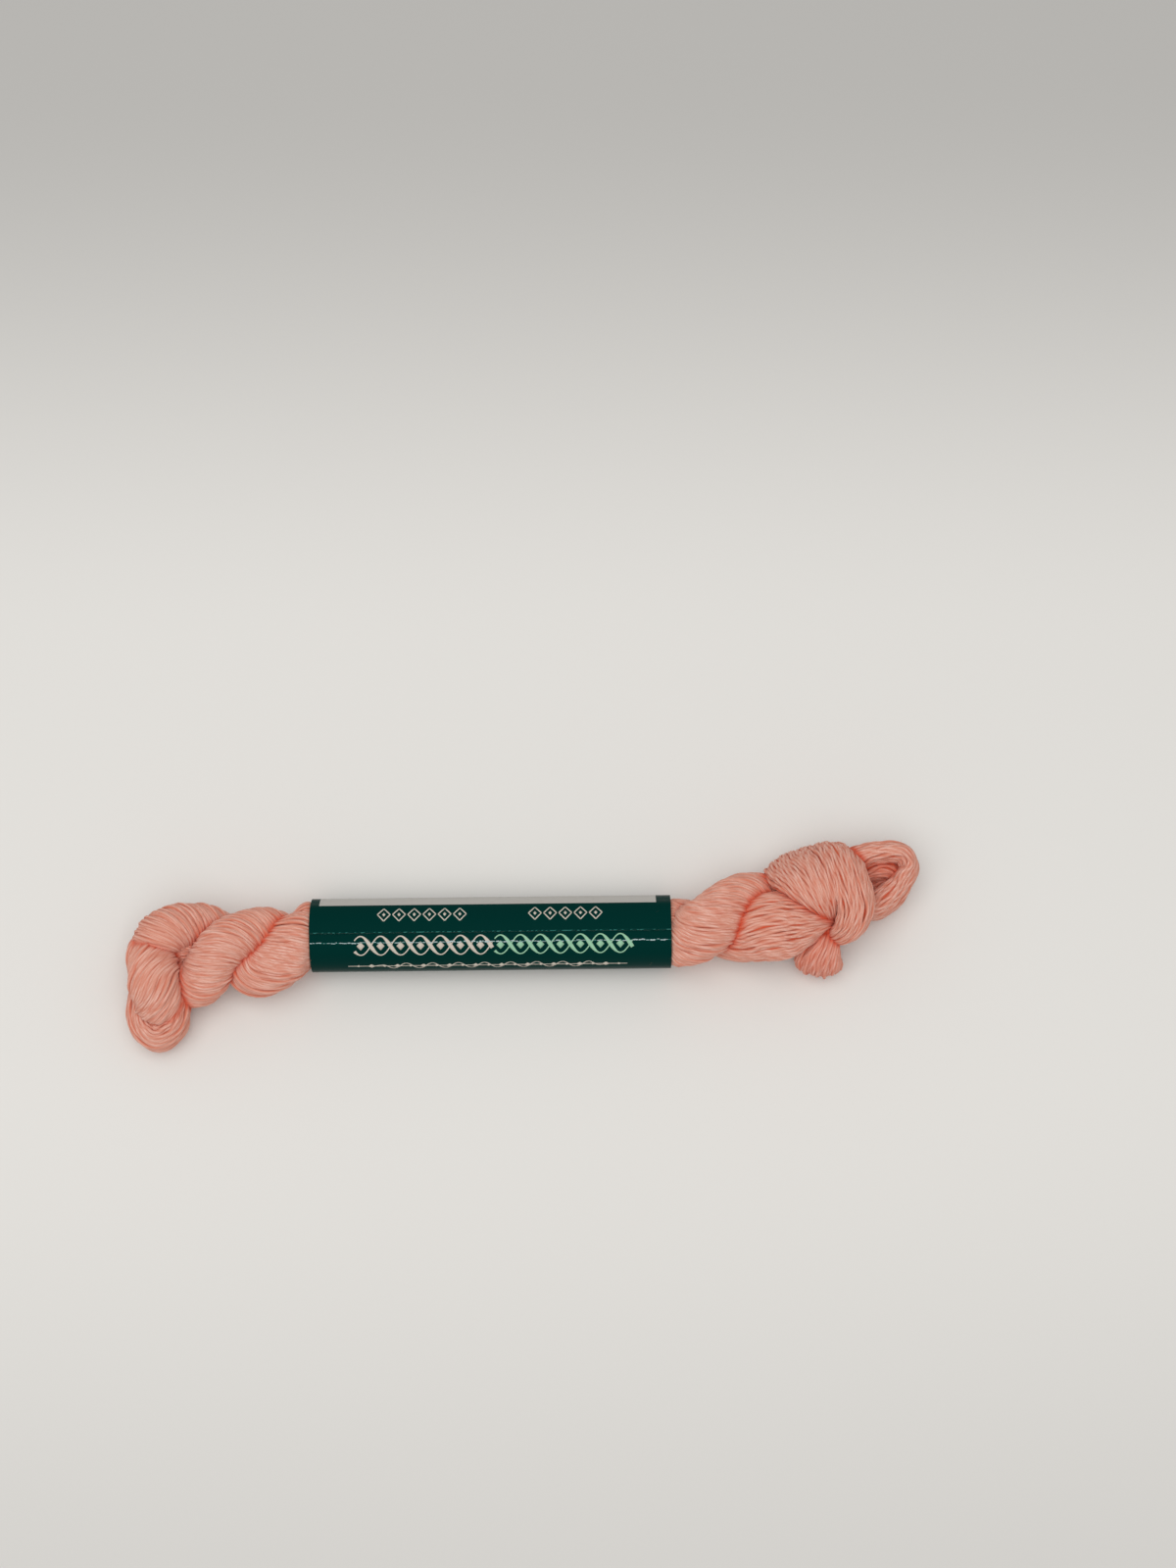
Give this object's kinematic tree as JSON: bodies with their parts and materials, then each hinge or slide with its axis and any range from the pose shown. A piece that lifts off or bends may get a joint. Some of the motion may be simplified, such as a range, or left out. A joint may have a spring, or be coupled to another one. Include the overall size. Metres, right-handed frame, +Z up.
{
  "type": "skein of merino wool yarn",
  "caption": "Small twisted skein of soft wool yarn, folded at one end and knotted into an open loop at the other, with a plain paper label sleeve round its middle.",
  "frame": {"origin": "on the table under the middle of the whole skein's outline", "axes": "+X along the sleeve, from the folded tip to the knot and loop; +Y towards the side that the loop lies on; +Z up"},
  "size_m": [0.1684, 0.043, 0.0194],
  "materials": {
    "yarn": "soft matte wool, peach pink",
    "label_paper": "laminated dark green paper, glossy"
  },
  "bodies": {
    "root": {"yarn_hank": "yarn", "paper_sleeve": "label_paper"}
  },
  "joints": []
}
